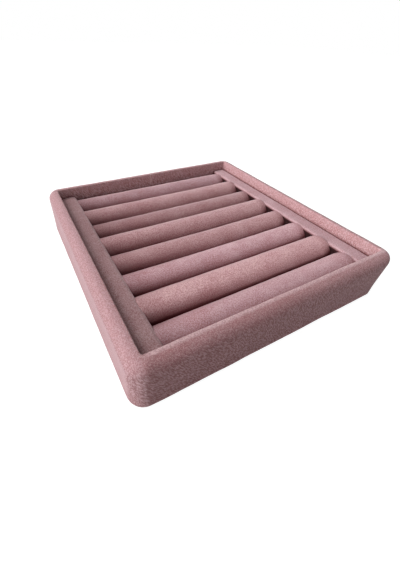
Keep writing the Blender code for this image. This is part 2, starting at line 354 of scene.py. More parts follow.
def velvet(
    name, deep, pale, joint=False, shade_bar_side=False, shade_rolls=False, specks=1.6, unshaded_from=0.75
):
    """Short-pile polyester velvet, dyed, cut and brushed.

    The wrap has the joint, with its painted light and shade; the bars have painted shade on their sides, and
    the rolls on their flanks and ends. Specks is how strongly the tufts differ, and the last argument how
    open a place has to be to get no painted crevice shade.

    The eye sees a deep colour where it looks into the pile and a paler, greyer one where the tips lean
    across its line, in patches where a hand has stroked it, in short strokes, and in fine specks where
    single tufts stand another way. The tips also catch light at a flat angle, through the shader's sheen and
    a painted sheen that pales the colour. Deep in crevices a dark diffuse shader is mixed in as painted
    shade.
    """
    patch_width = 14
    stroke_length = 9
    stroke_width = 3
    rubbed_width = 2.5
    contrast = 0.3
    # A tuft is about 0.1 mm wide: the specks are drawn as bundles of tufts, as coarse as they need to show
    tuft_width = 0.32 if joint else 0.5
    material, tree, shader, place = new_material(name)
    patches = add_node(
        tree,
        "ShaderNodeTexNoise",
        {"Vector": place, "Scale": per_metre(patch_width), "Detail": 3.0, "Roughness": 0.55},
    )
    stretched = add_node(
        tree,
        "ShaderNodeMapping",
        {
            "Vector": place,
            "Rotation": (math.radians(35), math.radians(20), math.radians(-30)),
            "Scale": (per_metre(stroke_length), per_metre(stroke_width), per_metre(stroke_width)),
        },
    )
    strokes = add_node(
        tree,
        "ShaderNodeTexNoise",
        {"Vector": stretched.outputs["Vector"], "Scale": 1.0, "Detail": 2.0, "Roughness": 0.5},
    )
    tufts = add_node(
        tree,
        "ShaderNodeTexNoise",
        {"Vector": place, "Scale": per_metre(tuft_width), "Detail": 2.0, "Roughness": 0.6},
    )
    # How much each pattern counts for towards the paler colour
    lean = 0.0
    weights = (0.4, 0.2, specks)
    for pattern, weight in zip((patches, strokes, tufts), weights):
        lean = add_node(
            tree,
            "ShaderNodeMath",
            {0: pattern.outputs["Fac"], 1: weight, 2: lean},
            operation="MULTIPLY_ADD",
        ).outputs["Value"]
    middle = sum(weights) / 2
    share = add_node(
        tree,
        "ShaderNodeMapRange",
        {"Value": lean, "From Min": middle - contrast, "From Max": middle + contrast},
    ).outputs["Result"]
    colours = bpy.context.scene.ring_tray.colours
    layers = [(share, pale), (painted_sheen_share(tree), colours.tips)]
    if joint:
        rubbed = add_node(
            tree, "ShaderNodeTexNoise", {"Vector": place, "Scale": per_metre(rubbed_width), "Detail": 4.0}
        )
        rubbed_share = add_node(
            tree,
            "ShaderNodeMapRange",
            {"Value": rubbed.outputs["Fac"], "From Min": 0.45, "From Max": 0.65, "To Max": 0.15},
        )
        # Colour of the painted shade at the walls' foot
        foot_shade_colour = lay_over(tree, brighter(deep, 0.45), [(share, brighter(deep, 1.25))])
        # A brighter copy of the wall velvet for the walls' inner side: painted light
        inside = lay_over(tree, colours.inner_pile, [(share, colours.inner_brushed)])
        # Rubbed patches and the joint are the cloth's own; the left side, the foot, the inner side and the
        # rim's inner edge are painted light and shade
        layers += [
            (rubbed_share.outputs["Result"], brighter(colours.taupe, 0.6)),
            (lit_left_side(tree, place), colours.lilac),
            (foot_shade_share(tree, place), foot_shade_colour),
            (lit_inner_side(tree, place), inside),
            (rim_edge_highlight(tree, place), colours.edge),
            (joint_line(tree, place), colours.backing),
        ]
    # Painted shade: deep in crevices a dark diffuse shader is mixed in
    unshaded_share = crevice_unshaded_share(tree, unshaded_from)
    if joint:
        unshaded_share = add_node(
            tree, "ShaderNodeMath", {0: unshaded_share, 1: tuft_rows(tree, place)}, operation="MULTIPLY"
        ).outputs["Value"]
    # The painted shade keeps more red than green and blue
    shade_shares = (0.36, 0.2, 0.2)
    shade = tuple(channel * part for channel, part in zip(deep, shade_shares))
    # Painted shade down the rolls' flanks and toward their ends
    if shade_rolls:
        unshaded_share = add_node(
            tree, "ShaderNodeMath", {0: unshaded_share, 1: roll_unshaded_share(tree, place)}, operation="MULTIPLY"
        ).outputs["Value"]
    # Near-black painted shade on the bar's side below the groove ends
    if shade_bar_side:
        above = above_rolls(tree, place)
        unshaded_share = add_node(
            tree, "ShaderNodeMath", {0: unshaded_share, 1: above}, operation="MINIMUM"
        ).outputs["Value"]
        shade = lay_over(tree, brighter(deep, 0.1), [(above, shade)])
        # Painted highlight along the bar's rounded edge beside the rolls
        layers.append((bar_edge_highlight(tree, place), colours.edge))
    colour = lay_over(tree, deep, [(unshaded_share, lay_over(tree, deep, layers))])
    height = add_node(
        tree,
        "ShaderNodeMath",
        {0: strokes.outputs["Fac"], 1: 0.4, 2: tufts.outputs["Fac"]},
        operation="MULTIPLY_ADD",
    )
    bump = add_node(
        tree,
        "ShaderNodeBump",
        {"Height": height.outputs["Value"], "Strength": 0.8, "Distance": 0.35 * MM},
    )
    tree.links.new(colour, shader.inputs["Base Color"])
    tree.links.new(bump.outputs["Normal"], shader.inputs["Normal"])
    shader.inputs["Roughness"].default_value = 0.9
    shader.inputs["Specular IOR Level"].default_value = 0.15
    shader.inputs["Sheen Weight"].default_value = 0.5
    shader.inputs["Sheen Roughness"].default_value = 0.45
    shader.inputs["Sheen Tint"].default_value = (*colours.sheen, 1)
    # The dark diffuse shader that paints the shade in crevices
    shade_bsdf = add_node(tree, "ShaderNodeBsdfDiffuse", {"Color": shade})
    surface = add_node(tree, "ShaderNodeMixShader", {0: unshaded_share})
    tree.links.new(shade_bsdf.outputs["BSDF"], surface.inputs[1])
    tree.links.new(shader.outputs["BSDF"], surface.inputs[2])
    tree.links.new(surface.outputs["Shader"], tree.nodes["Material Output"].inputs["Surface"])
    return material


def brighter(colour, gain):
    """A colour with each channel multiplied, and held at white."""
    return tuple(min(channel * gain, 1) for channel in colour)


def painted_sheen_share(tree):
    """Up to 0.4 where the eye looks along the cloth: a painted sheen, paler where only the tips of the pile
    show.
    """
    facing = add_node(tree, "ShaderNodeLayerWeight", {"Blend": 0.5})
    share = add_node(
        tree,
        "ShaderNodeMapRange",
        {"Value": facing.outputs["Facing"], "From Min": 0.62, "To Max": 0.4},
    )
    return share.outputs["Result"]


def tuft_rows(tree, place):
    """Less than 1 in the gaps between the tufts, which stand in slanting rows.

    The gaps show where the eye looks straight into the pile, and close where it looks along the cloth.
    """
    slant = math.radians(55)
    row_length = 2.4 * MM
    row_width = 0.58 * MM
    along_rows = add_node(
        tree,
        "ShaderNodeMapping",
        {"Vector": place, "Rotation": (0, slant, 0), "Scale": (row_length, row_width, row_width)},
        vector_type="TEXTURE",
    )
    rows = add_node(
        tree,
        "ShaderNodeTexNoise",
        {"Vector": along_rows.outputs["Vector"], "Scale": 1.0, "Detail": 2.0},
    )
    gap = add_node(
        tree, "ShaderNodeMapRange", {"Value": rows.outputs["Fac"], "From Min": 0.58, "From Max": 0.42}
    )
    facing = add_node(tree, "ShaderNodeLayerWeight", {"Blend": 0.5})
    depth = add_node(
        tree,
        "ShaderNodeMapRange",
        {
            "Value": facing.outputs["Facing"],
            "From Min": 0.72,
            "From Max": 0.88,
            "To Min": 0.45,
            "To Max": 0.05,
        },
    )
    # Hands have rubbed the tufts together on the rim
    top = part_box("wall_wrap")[1].z
    height = add_node(tree, "ShaderNodeSeparateXYZ", {"Vector": place}).outputs["Z"]
    below_rim = add_node(
        tree,
        "ShaderNodeMapRange",
        {"Value": height, "From Min": top - MM, "From Max": top - 7 * MM, "To Min": 0.5},
    )
    closed = gap.outputs["Result"]
    for limit in (depth, below_rim):
        closed = add_node(
            tree, "ShaderNodeMath", {0: closed, 1: limit.outputs["Result"]}, operation="MULTIPLY"
        ).outputs["Value"]
    return add_node(tree, "ShaderNodeMath", {0: 1.0, 1: closed}, operation="SUBTRACT").outputs["Value"]


def crevice_unshaded_share(tree, unshaded_from):
    """0 deep in a crevice, where a dark diffuse shader is mixed in as painted shade, and 1 in the open."""
    crevice_width = 3
    unshaded_share = add_node(
        tree,
        "ShaderNodeAmbientOcclusion",
        {"Distance": crevice_width * MM},
        samples=8,
    )
    share = add_node(
        tree,
        "ShaderNodeMapRange",
        {"Value": unshaded_share.outputs["AO"], "From Min": 0.15, "From Max": unshaded_from},
    )
    return share.outputs["Result"]


def roll_unshaded_share(tree, place):
    """1 on top of a roll, and less down its flanks and towards the bars: painted shade."""
    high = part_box("roll_cover_1")[1]
    reach = high.x
    axes = add_node(tree, "ShaderNodeSeparateXYZ", {"Vector": place}).outputs
    along = axes["X"]
    # The painted shade on a flank is deeper toward the left
    flank_least = add_node(
        tree,
        "ShaderNodeMapRange",
        {"Value": along, "From Min": -40 * MM, "From Max": 0.0, "To Min": 0.54, "To Max": 0.82},
    )
    flank = add_node(
        tree,
        "ShaderNodeMapRange",
        {
            "Value": axes["Z"],
            "From Min": high.z - 4.5 * MM,
            "From Max": high.z,
            "To Min": flank_least.outputs["Result"],
        },
    )
    # How far the shade at the right end reaches up the flank
    near_top = add_node(
        tree,
        "ShaderNodeMapRange",
        {
            "Value": axes["Z"],
            "From Min": high.z - 5 * MM,
            "From Max": high.z - MM,
            "To Min": 0.3,
            "To Max": 0.75,
        },
    )
    left = add_node(
        tree,
        "ShaderNodeMapRange",
        {"Value": along, "From Min": -reach, "From Max": -reach + 15 * MM, "To Min": 0.86},
    )
    right = add_node(
        tree,
        "ShaderNodeMapRange",
        {
            "Value": along,
            "From Min": reach,
            "From Max": reach - 5 * MM,
            "To Min": near_top.outputs["Result"],
        },
    )
    share = left.outputs["Result"]
    for limit in (right, flank):
        share = add_node(
            tree, "ShaderNodeMath", {0: share, 1: limit.outputs["Result"]}, operation="MULTIPLY"
        ).outputs["Value"]
    return share


def above_rolls(tree, place):
    """0 on a bar's side below the groove ends, which gets near-black painted shade, and 1 elsewhere."""
    low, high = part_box("right_bar_cover")
    axes = add_node(tree, "ShaderNodeSeparateXYZ", {"Vector": place}).outputs
    across = add_node(tree, "ShaderNodeMath", {0: axes["X"]}, operation="ABSOLUTE")
    outward = add_node(
        tree,
        "ShaderNodeMapRange",
        {
            "Value": across.outputs["Value"],
            "From Min": low.x + 1.5 * MM,
            "From Max": low.x + 2.5 * MM,
        },
    )
    upward = add_node(
        tree,
        "ShaderNodeMapRange",
        {"Value": axes["Z"], "From Min": high.z - 2.25 * MM, "From Max": high.z - 1.25 * MM},
    )
    share = add_node(
        tree,
        "ShaderNodeMath",
        {0: outward.outputs["Result"], 1: upward.outputs["Result"]},
        operation="MAXIMUM",
    )
    return share.outputs["Value"]


def lit_inner_side(tree, place):
    """1 on the inner side of the walls, which gets a brighter copy of the wall velvet as painted light, and 0
    outside.
    """
    axes = add_node(tree, "ShaderNodeSeparateXYZ", {"Vector": place}).outputs
    across = add_node(tree, "ShaderNodeMath", {0: axes["X"]}, operation="ABSOLUTE")
    along = add_node(tree, "ShaderNodeMath", {0: axes["Y"]}, operation="ABSOLUTE")
    reach = add_node(
        tree,
        "ShaderNodeMath",
        {0: across.outputs["Value"], 1: along.outputs["Value"]},
        operation="MAXIMUM",
    )
    inner = inner_face()
    share = add_node(
        tree,
        "ShaderNodeMapRange",
        {"Value": reach.outputs["Value"], "From Min": inner + 1.5 * MM, "From Max": inner + 0.3 * MM},
    )
    return share.outputs["Result"]


def lit_left_side(tree, place):
    """0.3 on the tray's left side, which faces the window lamp and gets paler lilac as painted light."""
    outside = inner_face() + 0.3 * MM
    axes = add_node(tree, "ShaderNodeSeparateXYZ", {"Vector": place}).outputs
    share = add_node(
        tree,
        "ShaderNodeMapRange",
        {"Value": axes["X"], "From Min": -outside, "From Max": -outside - MM, "To Max": 0.3},
    )
    return share.outputs["Result"]


def foot_shade_share(tree, place):
    """0.3 at the walls' foot and 0 from two thirds of the way up: painted shade, deeper toward the floor."""
    axes = add_node(tree, "ShaderNodeSeparateXYZ", {"Vector": place}).outputs
    share = add_node(
        tree,
        "ShaderNodeMapRange",
        {"Value": axes["Z"], "From Min": 20 * MM, "From Max": 3 * MM, "To Max": 0.3},
    )
    return share.outputs["Result"]


def bar_edge_highlight(tree, place):
    """0.15 along a bar's rounded edge beside the rolls: a painted highlight."""
    beside_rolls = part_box("right_bar_cover")[0].x
    axes = add_node(tree, "ShaderNodeSeparateXYZ", {"Vector": place}).outputs
    across = add_node(tree, "ShaderNodeMath", {0: axes["X"]}, operation="ABSOLUTE")
    share = add_node(
        tree,
        "ShaderNodeMapRange",
        {
            "Value": across.outputs["Value"],
            "From Min": beside_rolls + 3.5 * MM,
            "From Max": beside_rolls + 1.2 * MM,
            "To Max": 0.15,
        },
    )
    return share.outputs["Result"]


def rim_edge_highlight(tree, place):
    """0.55 along the inner edge of the front rim: a painted highlight."""
    inner = inner_face()
    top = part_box("wall_wrap")[1].z
    axes = add_node(tree, "ShaderNodeSeparateXYZ", {"Vector": place}).outputs
    band = add_node(
        tree,
        "ShaderNodeMapRange",
        {
            "Value": axes["Y"],
            "From Min": -inner - 2.6 * MM,
            "From Max": -inner - 1.4 * MM,
            "To Max": 0.55,
        },
    )
    within = add_node(tree, "ShaderNodeMath", {0: axes["Y"], 1: MM - inner}, operation="LESS_THAN")
    level = add_node(
        tree,
        "ShaderNodeMapRange",
        {"Value": axes["Z"], "From Min": top - 1.5 * MM, "From Max": top - 0.5 * MM},
    )
    past_corner = add_node(
        tree,
        "ShaderNodeMapRange",
        {"Value": axes["X"], "From Min": -inner - MM, "From Max": 4 * MM - inner},
    )
    share = band.outputs["Result"]
    for limit in (within.outputs["Value"], level.outputs["Result"], past_corner.outputs["Result"]):
        share = add_node(
            tree, "ShaderNodeMath", {0: share, 1: limit}, operation="MULTIPLY"
        ).outputs["Value"]
    return share


def joint_line(tree, place):
    """1 on the upright joint of the velvet strip in the middle of the back wall, and 0 elsewhere."""
    half_width = 0.35 * MM
    axes = add_node(tree, "ShaderNodeSeparateXYZ", {"Vector": place})
    aside = add_node(tree, "ShaderNodeMath", {0: axes.outputs["X"]}, operation="ABSOLUTE")
    near = add_node(
        tree,
        "ShaderNodeMapRange",
        {"Value": aside.outputs["Value"], "From Min": half_width, "From Max": 0.0},
    )
    behind = add_node(
        tree, "ShaderNodeMath", {0: axes.outputs["Y"], 1: 0.0}, operation="GREATER_THAN"
    )
    line = add_node(
        tree,
        "ShaderNodeMath",
        {0: near.outputs["Result"], 1: behind.outputs["Value"]},
        operation="MULTIPLY",
    )
    return line.outputs["Value"]


def fibreboard(colours):
    """Medium-density fibreboard, sawn: even warm brown, with fine pressed fibres and darker flecks."""
    fibre_width = 0.4
    fleck_width = 1.8
    material, tree, shader, place = new_material("sawn_fibreboard")
    fibres = add_node(
        tree,
        "ShaderNodeTexNoise",
        {"Vector": place, "Scale": per_metre(fibre_width), "Detail": 4.0, "Roughness": 0.7},
    )
    flecks = add_node(
        tree,
        "ShaderNodeTexNoise",
        {"Vector": place, "Scale": per_metre(fleck_width), "Detail": 2.0, "Roughness": 0.5},
    )
    dark = tuple(0.62 * channel for channel in colours.fibreboard)
    colour = lay_over(
        tree, dark, [(pattern.outputs["Fac"], colours.fibreboard) for pattern in (flecks, fibres)]
    )
    bump = add_node(
        tree,
        "ShaderNodeBump",
        {"Height": fibres.outputs["Fac"], "Strength": 0.3, "Distance": 0.1 * MM},
    )
    tree.links.new(colour, shader.inputs["Base Color"])
    tree.links.new(bump.outputs["Normal"], shader.inputs["Normal"])
    shader.inputs["Roughness"].default_value = 0.8
    return material


def greyboard(colours):
    """Solid recycled card: grey-brown, cloudy, with long loose fibres pressed into its face."""
    cloud_width = 6
    fibre_length = 2.5
    fibre_width = 0.25
    material, tree, shader, place = new_material("recycled_greyboard")
    clouds = add_node(
        tree,
        "ShaderNodeTexNoise",
        {"Vector": place, "Scale": per_metre(cloud_width), "Detail": 3.0},
    )
    stretched = add_node(
        tree,
        "ShaderNodeMapping",
        {
            "Vector": place,
            "Scale": (per_metre(fibre_length), per_metre(fibre_width), per_metre(fibre_width)),
        },
    )
    fibres = add_node(
        tree,
        "ShaderNodeTexNoise",
        {"Vector": stretched.outputs["Vector"], "Scale": 1.0, "Detail": 3.0, "Distortion": 1.5},
    )
    dark = tuple(0.7 * channel for channel in colours.card)
    colour = lay_over(tree, dark, [(pattern.outputs["Fac"], colours.card) for pattern in (clouds, fibres)])
    bump = add_node(
        tree,
        "ShaderNodeBump",
        {"Height": fibres.outputs["Fac"], "Strength": 0.25, "Distance": 0.1 * MM},
    )
    tree.links.new(colour, shader.inputs["Base Color"])
    tree.links.new(bump.outputs["Normal"], shader.inputs["Normal"])
    shader.inputs["Roughness"].default_value = 0.9
    return material


def soft_foam(colours):
    """Polyurethane foam, cut: off-white, matt, with small open cells and thin bright walls between."""
    cell_width = 0.7
    material, tree, shader, place = new_material("cut_polyurethane_foam")
    cells = add_node(
        tree,
        "ShaderNodeTexVoronoi",
        {"Vector": place, "Scale": per_metre(cell_width)},
        feature="DISTANCE_TO_EDGE",
    )
    walls = add_node(
        tree,
        "ShaderNodeMapRange",
        {"Value": cells.outputs["Distance"], "From Min": 0.02, "From Max": 0.3},
    )
    dark = tuple(0.66 * channel for channel in colours.foam)
    colour = lay_over(tree, colours.foam, [(walls.outputs["Result"], dark)])
    bump = add_node(
        tree,
        "ShaderNodeBump",
        {"Height": walls.outputs["Result"], "Strength": 0.8, "Distance": 0.3 * MM},
        invert=True,
    )
    tree.links.new(colour, shader.inputs["Base Color"])
    tree.links.new(bump.outputs["Normal"], shader.inputs["Normal"])
    shader.inputs["Roughness"].default_value = 0.95
    return material


def inner_face():
    """Where the velvet's inner face stands, left to right: the rail's inner face with glue and velvet."""
    wall = bpy.context.scene.ring_tray.wall
    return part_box("right_rail")[0].x - wall.glue_gap - wall.velvet


class RINGTRAY_OT_wall_velvet(bpy.types.Operator):
    """Wraps the tray's walls in one strip of velvet, with a rounded rim, a hem and a butt joint behind"""

    bl_idname = "ring_tray.wall_velvet"
    bl_label = "Velvet round the walls"
    bl_options = {"REGISTER", "UNDO"}

    def execute(self, context):
        wall = context.scene.ring_tray.wall
        low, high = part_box("wall_wrap")
        strip = add_primitive(
            bpy.ops.mesh.primitive_cube_add,
            "velvet_wrap",
            size=1,
            location=(low + high) / 2,
            scale=high - low,
        )
        self.shape_walls(strip, wall, low, high)
        self.divide(strip, wall, low, high)
        self.flare_foot(strip, wall, low, high)
        self.sink_joint(strip, wall)
        soften(strip, levels=1)
        uneven(strip, wall.unevenness, wall.unevenness_width)
        apply_modifier(strip, "backing", "SOLIDIFY", thickness=wall.velvet, offset=-1)
        strip.data.shade_smooth()
        colours = context.scene.ring_tray.colours
        material = velvet(
            "wall_velvet", tuple(colours.wall_pile), tuple(colours.wall_brushed), joint=True, specks=3.7
        )
        finish_piece(strip, "tray", "wall_wrap", material)
        return {"FINISHED"}

    def shape_walls(self, strip, wall, low, high):
        thickness = high.x - inner_face()
        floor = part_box("floor_lining")[0].z
        centre = high.x - wall.corner_radius
        with editing(strip):
            select(strip, "EDGE", lambda edge: edge.verts[0].co.z != edge.verts[1].co.z)
            bpy.ops.mesh.bevel(offset=wall.corner_radius, segments=8)
            select(strip, "FACE", lambda face: face.normal.z > 0.9)
            bpy.ops.mesh.inset(thickness=thickness)
            bpy.ops.mesh.extrude_region_move(
                TRANSFORM_OT_translate={"value": (0, 0, floor - high.z)}
            )
            bpy.ops.mesh.delete(type="FACE")
            select(strip, "FACE", lambda face: face.normal.z < -0.9)
            bpy.ops.mesh.inset(thickness=2 * wall.foot_radius)
            bpy.ops.mesh.inset(thickness=wall.corner_radius - 2 * wall.foot_radius)
            bpy.ops.mesh.remove_doubles(threshold=0.3 * MM)
            bpy.ops.mesh.inset(thickness=wall.hem - wall.corner_radius)
            bpy.ops.mesh.delete(type="FACE")

            def round_off(level, corner_radius, radius, segments):
                """Rounds the edges at one level that run round the corners at this radius."""

                def on_line(edge):
                    ends = [vert.co for vert in edge.verts]
                    level_ends = all(abs(co.z - level) < TOUCH for co in ends)
                    return level_ends and all(self.on_outline(co, centre, corner_radius) for co in ends)

                select(strip, "EDGE", on_line)
                bpy.ops.mesh.bevel(offset=radius, segments=segments)

            round_off(high.z, wall.corner_radius, wall.rim_radius, 6)
            round_off(high.z, wall.corner_radius - thickness, wall.inner_radius, 3)
            round_off(low.z, wall.corner_radius, wall.foot_radius, 2)

    def on_outline(self, co, centre, corner_radius):
        """Whether a point is on a square outline whose corners are rounded about these centres."""
        across = max(abs(co.x) - centre, 0)
        along = max(abs(co.y) - centre, 0)
        return abs(math.hypot(across, along) - corner_radius) < 0.05 * MM

    def divide(self, strip, wall, low, high):
        span = high.x - wall.corner_radius
        with editing(strip):
            for axis in (X_AXIS, Y_AXIS):
                slice_across(axis, -span, span, wall.grid)
            slice_across(Z_AXIS, low.z + wall.foot_radius, high.z - wall.rim_radius, wall.grid)
            bpy.ops.mesh.select_all(action="SELECT")
            bpy.ops.mesh.bisect(plane_co=Z_AXIS * (low.z + 2 * wall.foot_radius), plane_no=Z_AXIS)

    def flare_foot(self, strip, wall, low, high):
        """Lets the outer face stand out toward the foot, where the velvet turns under the tray."""
        for vert in strip.data.vertices:
            if max(abs(vert.co.x), abs(vert.co.y)) > high.x - wall.corner_radius / 2:
                share = max(1 - (vert.co.z - low.z) / wall.flare_height, 0)
                stretch = 1 + share**2 * wall.flare / high.x
                vert.co.x *= stretch
                vert.co.y *= stretch

    def sink_joint(self, strip, wall):
        """Cuts the joint of the strip's ends into the middle of the back wall and sinks its middle."""
        with editing(strip):
            for place in (-wall.seam, -wall.seam / 2, 0, wall.seam / 2, wall.seam):
                select(strip, "FACE", lambda face: face.calc_center_median().y > 0)
                bpy.ops.mesh.bisect(plane_co=X_AXIS * place, plane_no=X_AXIS)
            select(strip, "VERT", lambda vert: abs(vert.co.x) < TOUCH and vert.co.y > 0)
            bpy.ops.transform.shrink_fatten(value=-wall.seam_depth)


class RINGTRAY_OT_ring_rolls(bpy.types.Operator):
    """Models one stuffed velvet roll and lays a copy in the place of each of the eight"""

    bl_idname = "ring_tray.ring_rolls"
    bl_label = "Padded ring rolls"
    bl_options = {"REGISTER", "UNDO"}

    def execute(self, context):
        padding = context.scene.ring_tray.padding
        colours = context.scene.ring_tray.colours
        first = self.model_roll(padding)
        for number in ROLLS:
            roll = self.copy_to(first, number)
            uneven(roll, padding.unevenness, padding.unevenness_width)
            roll.data.shade_smooth()
            gain = ROLL_TONES[number - 1]
            pale = colours.lilac if number in LILAC_ROLLS else colours.brushed
            material = velvet(
                f"roll_velvet_{number}",
                brighter(colours.pile, gain),
                brighter(pale, gain),
                shade_rolls=True,
            )
            finish_piece(roll, "ring_insert", f"roll_cover_{number}", material)
        bpy.data.objects.remove(first)
        return {"FINISHED"}

    def model_roll(self, padding):
        low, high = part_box("roll_cover_1")
        radius = (high.y - low.y) / 2
        middle = Vector(((low.x + high.x) / 2, (low.y + high.y) / 2, high.z - radius))
        half = (high.x - low.x) / 2 - padding.slack / 2
        seat = low.z
        # How far in each further loop of an end face is cut, so that the cloth can bulge there
        inset_shares = (0.3, 0.3, 0.25)
        roll = add_primitive(
            bpy.ops.mesh.primitive_cylinder_add,
            "first_roll",
            vertices=56,
            radius=radius - padding.slack,
            depth=2 * half,
            end_fill_type="NGON",
            location=middle,
            rotation=(0, math.pi / 2, 0),
        )
        with editing(roll):
            select(roll, "EDGE", lambda edge: abs(edge.verts[0].co.x - edge.verts[1].co.x) < TOUCH)
            bpy.ops.mesh.bevel(offset=padding.shoulder, segments=4)
            bpy.ops.mesh.select_all(action="SELECT")
            bpy.ops.mesh.bisect(
                plane_co=Z_AXIS * seat, plane_no=Z_AXIS, use_fill=True, clear_inner=True
            )
            select(roll, "FACE", lambda face: abs(face.normal.x) > 0.99)
            for share in inset_shares:
                bpy.ops.mesh.inset(thickness=share * (radius - padding.shoulder))
            inner = half - padding.shoulder
            slice_across(X_AXIS, -inner, inner, padding.grid)
        swell(roll, seat, padding)
        soften(roll, levels=1)
        return roll

    def copy_to(self, first, number):
        """A copy with its own mesh, in the space of its solid. Every other one is end for end."""
        roll = first.copy()
        roll.data = first.data.copy()
        roll.name = f"ring_roll_{number}"
        roll.data.name = roll.name
        bpy.context.scene.collection.objects.link(roll)
        roll.data.transform(Matrix.Rotation(math.pi * (number % 2), 4, "Z"))
        press = bpy.context.scene.ring_tray.padding.press * X_AXIS
        low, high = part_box(f"roll_cover_{number}")
        fill_box(roll, low - press, high + press)
        slim = ROLL_SLIMNESS[number - 1] * MM / ((high.y - low.y) / 2)
        middle = (low.y + high.y) / 2
        # Thinner in the middle than at the ends, where the bars hold the cloth up
        held_share = 0.4
        for vert in roll.data.vertices:
            share = 1 - held_share * (vert.co.x / high.x) ** 2
            vert.co.y += (middle - vert.co.y) * slim * share
            vert.co.z += (low.z - vert.co.z) * slim * share
        return roll


class RINGTRAY_OT_end_bars(bpy.types.Operator):
    """Models the padded velvet bar at each end of the rolls"""

    bl_idname = "ring_tray.end_bars"
    bl_label = "Padded end bars"
    bl_options = {"REGISTER", "UNDO"}

    def execute(self, context):
        padding = context.scene.ring_tray.padding
        colours = context.scene.ring_tray.colours
        # The gain draws the right bar a little brighter than the left: painted light. The last value sets how
        # much painted crevice shade each bar gets
        for side, lean, sag, pale, gain, unshaded_from in (
            ("left", padding.lean, 0, colours.brushed, 0.98, 0.5),
            ("right", 0, padding.sag, colours.lilac, 1.04, 0.85),
        ):
            material = velvet(
                side + "_bar_velvet",
                brighter(colours.pile, gain),
                brighter(pale, gain),
                shade_bar_side=True,
                unshaded_from=unshaded_from,
            )
            bar = self.model_bar(side, padding)
            self.tuck_side(bar, side, padding)
            self.settle_top(bar, side, lean, sag)
            uneven(bar, padding.unevenness, padding.unevenness_width)
            bar.data.shade_smooth()
            finish_piece(bar, "ring_insert", side + "_bar_cover", material)
        return {"FINISHED"}

    def model_bar(self, side, padding):
        low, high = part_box(side + "_bar_cover")
        inset = Vector((padding.slack, padding.slack, 0))
        low = low + inset
        high = high - inset - Vector((0, 0, padding.slack))
        bar = add_primitive(
            bpy.ops.mesh.primitive_cube_add,
            side + "_end_bar",
            size=1,
            location=(low + high) / 2,
            scale=high - low,
        )
        beside_rolls = min(abs(low.x), abs(high.x))

        def along_rolls(edge):
            return all(abs(abs(v.co.x) - beside_rolls) < TOUCH and v.co.z > low.z for v in edge.verts)

        with editing(bar):
            select(bar, "EDGE", lambda edge: along_rolls(edge) and edge.calc_length() > 20 * MM)
            bpy.ops.mesh.bevel(offset=padding.bar_corner, segments=4)
            select(bar, "EDGE", lambda edge: all(v.co.z > high.z - TOUCH for v in edge.verts))
            bpy.ops.mesh.bevel(offset=padding.bar_edge, segments=4)
            edge = padding.bar_edge
            slice_across(Y_AXIS, low.y + edge, high.y - edge, padding.grid)
            slice_across(X_AXIS, low.x + edge, high.x - edge, padding.grid)
            slice_across(Z_AXIS, low.z, high.z - edge, padding.grid)
        swell(bar, low.z, padding)
        soften(bar, levels=1)
        fill_box(bar, *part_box(side + "_bar_cover"))
        return bar

    def tuck_side(self, bar, side, padding):
        """Draws the side beside the rolls in below the bar's rounded top edge."""
        low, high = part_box(side + "_bar_cover")
        inner, outer = (low.x, high.x) if side == "right" else (high.x, low.x)
        for vert in bar.data.vertices:
            depth = (high.z - padding.bar_corner - vert.co.z) / padding.bar_corner
            ease = min(max(depth, 0), 1)
            nearness = (outer - vert.co.x) / (outer - inner)
            move = padding.undercut * ease * ease * (3 - 2 * ease) * nearness**4
            vert.co.x += math.copysign(move, outer - inner)

    def settle_top(self, bar, side, lean, sag):
        """Leans the top, higher beside the rolls, and lowers it, both less and less towards the seat."""
        low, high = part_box(side + "_bar_cover")
        middle = (low.x + high.x) / 2
        for vert in bar.data.vertices:
            share = (vert.co.z - low.z) / (high.z - low.z)
            vert.co.z += share * ((vert.co.x - middle) * math.tan(lean) - sag)


def swell(obj, seat, padding):
    """Fills a piece as cloth round its stuffing, glued down along its seat.

    It is done at ten times the size, where the cloth solver is steady.
    """
    scale = 10
    furthest = padding.swell * scale
    mesh = obj.data
    mesh.transform(Matrix.Scale(scale, 4))
    start = [(vert.co.copy(), vert.normal.copy()) for vert in mesh.vertices]
    glued = [vert.index for vert in mesh.vertices if vert.co.z < seat * scale + MM]
    held = obj.vertex_groups.new(name="held")
    held.add(glued, 1, "REPLACE")
    cloth = obj.modifiers.new("stuffing", "CLOTH")
    cloth.settings.quality = 6
    cloth.settings.use_pressure = True
    cloth.settings.uniform_pressure_force = padding.pressure
    cloth.settings.vertex_group_mass = held.name
    cloth.settings.effector_weights.gravity = 0
    cloth.collision_settings.use_collision = False
    for number in CLOTH_FRAMES:
        bpy.context.scene.frame_set(number)
    bpy.context.view_layer.objects.active = obj
    bpy.ops.object.modifier_apply(modifier=cloth.name)
    obj.vertex_groups.clear()
    bpy.context.scene.frame_set(CLOTH_FRAMES[0])
    for vert, (before, normal) in zip(mesh.vertices, start):
        # The stuffing holds the velvet out, and its seams stop it: it may move between these two
        outward = (vert.co - before).dot(normal)
        vert.co = before + normal * min(max(outward, furthest / 2), furthest)
    for index in glued:
        mesh.vertices[index].co = start[index][0]
    mesh.transform(Matrix.Scale(1 / scale, 4))


class RINGTRAY_OT_linings(bpy.types.Operator):
    """Gives the tray's floor lining and the sheet under the tray their velvet"""

    bl_idname = "ring_tray.linings"
    bl_label = "Floor lining and underside"
    bl_options = {"REGISTER", "UNDO"}

    def execute(self, context):
        colours = context.scene.ring_tray.colours
        lining = velvet("lining_velvet", brighter(colours.pile, 0.8), brighter(colours.brushed, 0.8))
        for name in ("floor_lining", "base_cover"):
            dress_node(name, lining)
        return {"FINISHED"}


